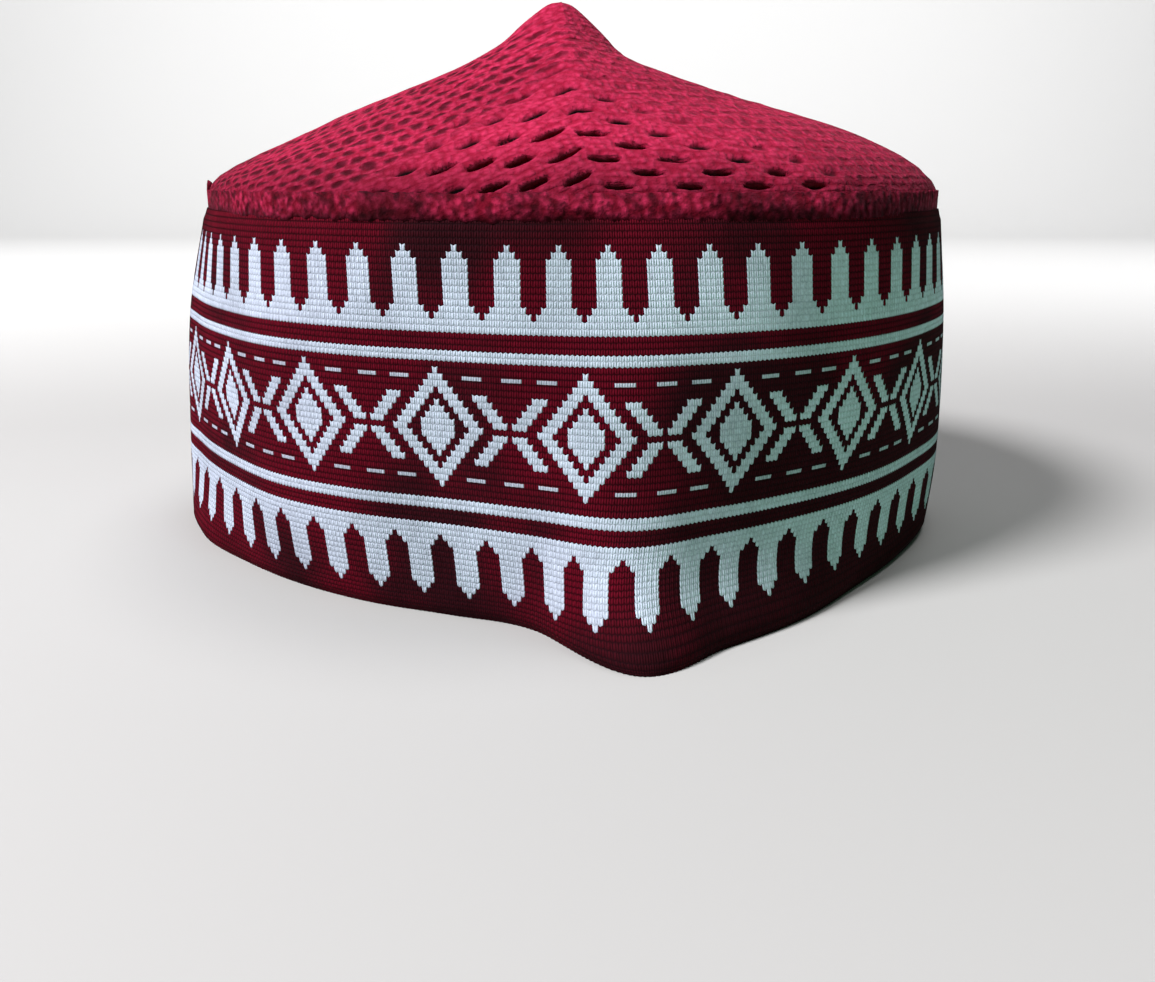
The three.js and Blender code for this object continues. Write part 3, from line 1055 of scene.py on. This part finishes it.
@dataclass
class OpenworkCrown:
    """Openwork crown: thick knitting with staggered eyelets, gathered to a soft peak."""

    plan: CapPlan
    columns: int = 560
    levels: int = 150
    front: float = 5.0  # degrees: middle of the part with close columns
    row_rise: float = 2.4 * MM
    far_rise: float = 1.95 * MM  # the same far to the left
    first_row: float = 2.15 * MM
    pitch: float = 13.1 * MM  # from one open eyelet to the next
    eyelet: tuple = (0.25, 0.33)  # half its size along the row and up, in pitches and rows
    depth: float = 1.2 * MM
    puff: float = 0.3 * MM  # how far the knitting between eyelets stands out
    rope: float = 0.05 * MM  # the same for the middles of its rows
    inside: tuple = (0, 0.04, 0.1, 0.2, 0.3, 0.42, 0.54, 0.66, 0.78, 0.88, 0.95)
    inside_painted_shade: float = 0.45  # painted shade of the inside: the eyelet_depth it takes, which darkens its colour
    cutter_sides: int = 18
    cutter_reach: tuple = (-4 * MM, 3 * MM)  # of the cutters, inwards and outwards
    lines: range = range(0, 10)  # rows that can have open eyelets
    steps: range = range(-5, 8)  # places along them

    def fabric(self, angle: Array, inward: Array, points: Array) -> Fabric:
        """Lays the rows of knitting over the crown.

        Args:
            angle: Degrees of the columns.
            inward: Shares of the way in of the rows.
            points: The crown's points.

        Returns:
            The fabric.
        """
        turn = np.linspace(-180, 180, 3601)
        run = lengths(self.plan.crown(turn + CREASE_ANGLE, np.array([0.0]))[0])
        arc = np.interp(wrap(angle - CREASE_ANGLE), turn, run - run[len(run) // 2])
        across = (1 - inward)[:, None] * arc[None, :]
        height = points[..., 2] - ROWS_FOOT
        far = smooth(40 * MM, 110 * MM, -across)
        rise = self.row_rise + (self.far_rise - self.row_rise) * far
        slips = np.interp(-across, SLIPS[:, 0] * MM, SLIPS[:, 1])
        row = (height - self.first_row) / rise + slips
        left = smooth(-3 * MM, 16 * MM, -across)
        lean = (0.55 + 0.45 * left) * MM
        place = (across + lean * row - (2.4 + 0.85 * left) * MM) / self.pitch
        opened = self.openness(across, height)
        return Fabric(angle, inward, place, row, opened, self.ease(across, angle))

    def openness(self, across: Array, height: Array) -> Array:
        """How far the eyelets stand open: 1 low at the front, 0 at the sides and the top."""
        limit = np.interp(across, OPEN_UP_TO[:, 0] * MM, OPEN_UP_TO[:, 1] * MM)
        return 1 - smooth(0.8, 2.2, height / limit)

    def ease(self, across: Array, angle: Array) -> Array:
        """How much relief the closed eyelets keep: most left of the crease, little behind."""
        front = 1 - smooth(115, 172, np.abs(wrap(angle - CREASE_ANGLE)))
        return 0.16 + 0.4 * smooth(-6 * MM, 10 * MM, -across) * front

    def outward(self, angle: Array, inward: Array) -> Array:
        """Unit vectors square to the crown's face, outwards, as a grid."""
        crown = self.plan.crown
        level = unit(crown(angle + ANGLE_STEP, inward) - crown(angle - ANGLE_STEP, inward))
        upper, lower = (np.clip(inward + step, 0, 1) for step in (INWARD_STEP, -INWARD_STEP))
        climb = unit(crown(angle, upper) - crown(angle, lower))
        return unit(np.cross(level, climb))

    def nearest(self, fabric: Fabric) -> Array:
        """Distance to the nearest eyelet's middle, in eyelet sizes."""
        near = np.full_like(fabric.row, 9.0)
        for step in (0, 1):
            line = np.floor(fabric.row) + step
            rise = (fabric.row - line) / self.eyelet[1]
            run = ((fabric.place - (1 - line % 2) / 2 + 0.5) % 1 - 0.5) / self.eyelet[0]
            near = np.minimum(near, np.hypot(run, rise))
        return near

    def relief(self, fabric: Fabric) -> tuple:
        """Relief of the knitting.

        Args:
            fabric: The crown's fabric.

        Returns:
            How far it stands out, how deep the eyelets are and how closed they are, as grids.
        """
        inward, opened, ease = fabric.inward, fabric.opened, fabric.ease
        near = self.nearest(fabric)
        fade = smooth(0.0, 0.02, inward)[:, None] * (1 - smooth(0.8, 0.95, inward))[:, None]
        hollow = 1 - smooth(0.25, 1.05, near)
        deep = (0.3 * ease + (1 - 0.3 * ease) * opened) * fade
        relief = -self.depth * hollow * deep
        relief = relief + self.puff * smooth(0.9, 2.0, near) * fade * (0.4 + 0.6 * opened)
        rope = 0.5 - 0.5 * np.cos(2 * math.pi * fabric.row)
        relief = relief + self.rope * rope * fade * (0.3 + ease)
        closed = (1 - smooth(0.05, 0.6, opened)) * (0.35 + 1.1 * ease) * fade
        return relief, hollow * deep, closed

    def lining(self, angle: Array) -> Array:
        """Points of the crown's inner face, from its level foot to the peak."""
        inside = np.array(self.inside)
        out = self.outward(angle, inside)
        out[0, :, 2] = 0
        inner = self.plan.crown(angle, inside) - unit(out) * CROWN_WALL
        inner[0, :, 2] = CROWN_FOOT
        return inner

    def shell(self, rings: Array) -> bpy.types.Object:
        """Closed shell from rings of points.

        Args:
            rings: The rings, from the inner peak down to the foot and up to the outer peak.

        Returns:
            The object.
        """
        faces = grid_faces(len(rings), self.columns).tolist()
        tips = [
            [PEAK_SIDE - MIDDLE[0], -MIDDLE[1], CROWN_FOOT + CROWN_RISE - down]
            for down in (CROWN_WALL, CROWN_SINK)
        ]
        points = np.concatenate([rings.reshape(-1, 3), tips])
        inner_tip, outer_tip = len(points) - 2, len(points) - 1
        last = (len(rings) - 1) * self.columns
        for i in range(self.columns):
            j = (i + 1) % self.columns
            faces += [[inner_tip, j, i], [outer_tip, last + i, last + j]]
        return make_mesh("openwork_crown", points, faces)

    def build(self) -> bpy.types.Object:
        """Makes the crown as a closed shell with its openwork relief.

        Returns:
            The finished object.
        """
        foot = lambda a: self.plan.crown(a, np.array([0.0]))[0]
        closer = lambda a: 1 + 0.8 * (1 - smooth(70, 115, np.abs(wrap(a - self.front))))
        angle = even_angles(foot, self.columns, self.front - 180.0, closer)
        inward = np.linspace(0, 1, self.levels + 1)[:-1] ** 1.05 * 0.985
        points = self.plan.crown(angle, inward)
        fabric = self.fabric(angle, inward, points)
        relief, depth, closed = self.relief(fabric)
        outer = points + self.outward(angle, inward) * (relief - CROWN_SINK)[..., None]
        inner = self.lining(angle)
        crown = self.shell(np.concatenate([inner[::-1], outer]))
        start = len(inner) * self.columns
        for name, values, elsewhere in (
            ("eyelet_depth", depth, self.inside_painted_shade),
            ("closed", closed, 0.0),
            ("place", fabric.place, 0.0),
            ("row", fabric.row, 0.0),
        ):
            value = np.full(len(crown.data.vertices), elsewhere)
            value[start : start + values.size] = values.ravel()
            add_value(crown.data, name, "POINT", value)
        self.pierce(crown, fabric)
        return crown

    def open_eyelets(self, fabric: Fabric) -> Iterator[tuple]:
        """Row and column of the grid point at the middle of each open eyelet."""
        for line in self.lines:
            for step in self.steps:
                spot = step + (1 - line % 2) / 2
                gap = np.hypot(fabric.row - line, (fabric.place - spot) * 4)
                r, c = np.unravel_index(np.argmin(gap), gap.shape)
                if gap[r, c] <= 0.3 and fabric.opened[r, c] >= 0.88 and fabric.inward[r] >= 0.02:
                    yield r, c

    def pierce(self, crown: bpy.types.Object, fabric: Fabric) -> None:
        """Cuts the open eyelets through the wall.

        Args:
            crown: The closed shell.
            fabric: Its fabric.
        """
        points, faces = [], []
        turn = np.linspace(0, 2 * math.pi, self.cutter_sides + 1)[:-1]
        count = len(turn)
        random = np.random.default_rng(3)
        for r, c in self.open_eyelets(fabric):
            spot = fabric.angle[c : c + 1], fabric.inward[r : r + 1]
            middle = self.plan.crown(*spot)[0, 0]
            out = self.outward(*spot)[0, 0]
            run, rise = self.lattice_step(fabric, r, c)
            size = 0.5 + 0.5 * smooth(0.86, 1.0, fabric.opened[r, c])
            wide = self.eyelet[0] * 0.95 * size * random.uniform(0.92, 1.06)
            high = self.eyelet[1] * 0.7 * size * random.uniform(0.85, 1.1)
            rough = random.uniform(0.8, 1.12, count)
            ring = [
                middle + k * (run * wide * math.cos(t) + rise * high * math.sin(t))
                for t, k in zip(turn, rough)
            ]
            base = len(points)
            for shift in self.cutter_reach:
                points += [p + out * shift for p in ring]
            faces.append([base + i for i in range(count)][::-1])
            faces.append([base + count + i for i in range(count)])
            for i in range(count):
                j = (i + 1) % count
                faces.append([base + i, base + j, base + count + j, base + count + i])
        cutter = make_mesh("eyelet_cutter", np.array(points), faces)
        # the cut walls of the eyelets take full eyelet_depth: painted shade, nearly black
        add_value(cutter.data, "eyelet_depth", "POINT", np.ones(len(points)))
        cut = crown.modifiers.new("eyelets", "BOOLEAN")
        cut.object = cutter
        cut.operation = "DIFFERENCE"
        cut.solver = "MANIFOLD"
        bpy.context.view_layer.objects.active = crown
        bpy.ops.object.modifier_apply(modifier=cut.name)
        bpy.data.objects.remove(cutter)
        crown.data.materials.clear()
        log.info("openwork_crown: %d open eyelets", len(points) // (2 * count))

    def lattice_step(self, fabric: Fabric, r: int, c: int) -> tuple:
        """Steps in space at a grid point.

        Args:
            fabric: The crown's fabric.
            r: The point's row in the grids.
            c: Its column.

        Returns:
            The steps for one place along the row of knitting and for one row up.
        """
        angle, inward, place, row = fabric.angle, fabric.inward, fabric.place, fabric.row
        r0, r1 = max(r - 1, 0), min(r + 1, len(inward) - 1)
        c0, c1 = (c - 1) % len(angle), (c + 1) % len(angle)
        grid = lambda i, j: self.plan.crown(angle[j : j + 1], inward[i : i + 1])[0, 0]
        du, dv = grid(r, c1) - grid(r, c0), grid(r1, c) - grid(r0, c)
        slope = np.array(
            [
                [place[r, c1] - place[r, c0], place[r1, c] - place[r0, c]],
                [row[r, c1] - row[r, c0], row[r1, c] - row[r0, c]],
            ]
        )
        back = np.linalg.inv(slope)
        return du * back[0, 0] + dv * back[1, 0], du * back[0, 1] + dv * back[1, 1]


@dataclass(frozen=True)
class Lamp:
    """Round area light that faces a target and isn't seen itself.

    Attributes:
        name: Its name.
        place: Where it stands.
        target: Where it points.
        size: Its diameter.
        power: Its power in watts.
        colour: Its colour.
        spread: Width of its beam in degrees.
    """

    name: str
    place: tuple
    target: tuple
    size: float
    power: float
    colour: tuple = (1.0, 1.0, 1.0)
    spread: float = 180.0

    def build(self) -> None:
        """Puts the light into the scene."""
        data = bpy.data.lights.new(self.name, "AREA")
        data.shape = "DISK"
        data.size = self.size
        data.energy = self.power
        data.color = self.colour
        data.spread = math.radians(self.spread)
        lamp = bpy.data.objects.new(self.name, data)
        lamp.visible_camera = False
        lamp.location = self.place
        aim = np.array(self.target) - np.array(self.place)
        lamp.rotation_euler = (
            math.atan2(math.hypot(aim[0], aim[1]), -aim[2]),
            0,
            math.atan2(aim[1], aim[0]) - math.pi / 2,
        )
        bpy.context.scene.collection.objects.link(lamp)


CAP_MIDDLE = (0.0, 0.0, 0.06)
RIGHT_SIDE = (0.045, -0.045, 0.055)
WARM_WHITE = (1.0, 0.98, 0.98)
LAMPS = (
    Lamp("key", (-0.79, -0.5, 1.04), CAP_MIDDLE, 0.4, 35, WARM_WHITE),
    Lamp("top", (0.3, 0.15, 1.4), CAP_MIDDLE, 0.5, 7.0, WARM_WHITE),
    Lamp("fill", (0.98, -0.86, 0.1), RIGHT_SIDE, 0.12, 0.04, (0.04, 1.0, 0.28), 20),
    Lamp("backdrop_left", (-0.8, 0.2, 1.2), (-1, 2.0, 0.95), 1.0, 52),
    Lamp("backdrop_right", (0.8, 0.2, 1.2), (1, 2.0, 0.95), 1.0, 52),
)


@dataclass(frozen=True)
class Studio:
    """Pale floor, soft lights and the camera at the photograph's angle."""

    camera_place: tuple = (4.364 * MM, -256.365 * MM, 85.4 * MM)
    camera_pitch: float = 0.30
    lens: float = 31.17
    sensor: float = 36.0
    near_clip: float = 5 * MM
    floor_colour: tuple = (0.40, 0.40, 0.40, 1)
    floor_roughness: float = 0.9
    bend: float = 0.6  # radius between floor and backdrop
    world_strength: float = 0.044

    def camera(self) -> None:
        """Places the camera."""
        data = bpy.data.cameras.new("photo_camera")
        data.lens = self.lens
        data.sensor_width = self.sensor
        data.clip_start = self.near_clip
        camera = bpy.data.objects.new("photo_camera", data)
        camera.location = self.camera_place
        camera.rotation_euler = (math.pi / 2 - self.camera_pitch, 0, 0)
        bpy.context.scene.collection.objects.link(camera)
        bpy.context.scene.camera = camera

    def floor(self) -> None:
        """Pale floor that sweeps up into a backdrop far behind."""
        x = np.linspace(-4, 4, 9)
        radius = self.bend
        profile = [(-3.0, 0.0), (-1.0, 0.0), (0.0, 0.0), (1.0, 0.0)]
        for turn in np.radians(np.linspace(0, 90, 13)):
            profile.append((1.4 + radius * math.sin(turn), radius - radius * math.cos(turn)))
        profile += [(2.0, 1.4), (2.0, 2.6)]
        points = np.array([[(a, y, z) for a in x] for y, z in profile]).reshape(-1, 3)
        columns = len(x)
        faces = [
            [r * columns + c, r * columns + c + 1, (r + 1) * columns + c + 1, (r + 1) * columns + c]
            for r in range(len(profile) - 1)
            for c in range(columns - 1)
        ]
        floor = make_mesh("studio_floor", points, faces)
        n = Nodes("studio_floor")
        n.shader.inputs["Base Color"].default_value = self.floor_colour
        n.shader.inputs["Roughness"].default_value = self.floor_roughness
        floor.data.materials.append(n.material)

    def build(self) -> None:
        """Sets up camera, floor, lights and surroundings."""
        self.camera()
        self.floor()
        for lamp in LAMPS:
            lamp.build()
        world = bpy.data.worlds.new("studio")
        world.use_nodes = True
        background = world.node_tree.nodes["Background"].inputs
        background[0].default_value = (1, 1, 1, 1)
        background[1].default_value = self.world_strength
        bpy.context.scene.world = world
        bpy.context.scene.view_settings.view_transform = "Standard"


CRIMSON = Yarn((0.42, 0.021, 0.073, 1), (0.235, 0.005, 0.026, 1), 0.9, 0.03, (1.0, 0.35, 0.55, 1))
SEAM_CRIMSON = Yarn((0.40, 0.02, 0.07, 1), (0.13, 0.0025, 0.013, 1), 0.9, 0.03, (1.0, 0.3, 0.5, 1))


def dress(piece: bpy.types.Object, material: bpy.types.Material, node: str) -> None:
    """Gives a piece its finish and its place in the frame, and hides the solid it stands for.

    Args:
        piece: The piece.
        material: Its finish.
        node: The solid's node.
    """
    piece.data.materials.append(material)
    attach(piece, "root")
    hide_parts(node)
    log.info("%s: %d faces", piece.name, len(piece.data.polygons))


def main() -> None:
    """Builds the cap in order."""
    logging.basicConfig(level=logging.INFO, format="%(message)s")
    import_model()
    Studio().build()
    plan = CapPlan()
    band = KnitBand(plan)
    knit = JacquardKnit(band.chart.wales, len(band.courses()))
    dress(band.build(), knit.material(), "band")
    seam_wool = CrimsonWool("linked_yarn", SEAM_CRIMSON)
    dress(JoinSeam(plan).build(), seam_wool.material(), "join_seam")
    crown_wool = CrimsonWool("openwork_yarn", CRIMSON, openwork=True)
    dress(OpenworkCrown(plan).build(), crown_wool.material(), "crown")


if __name__ == "__main__":
    main()
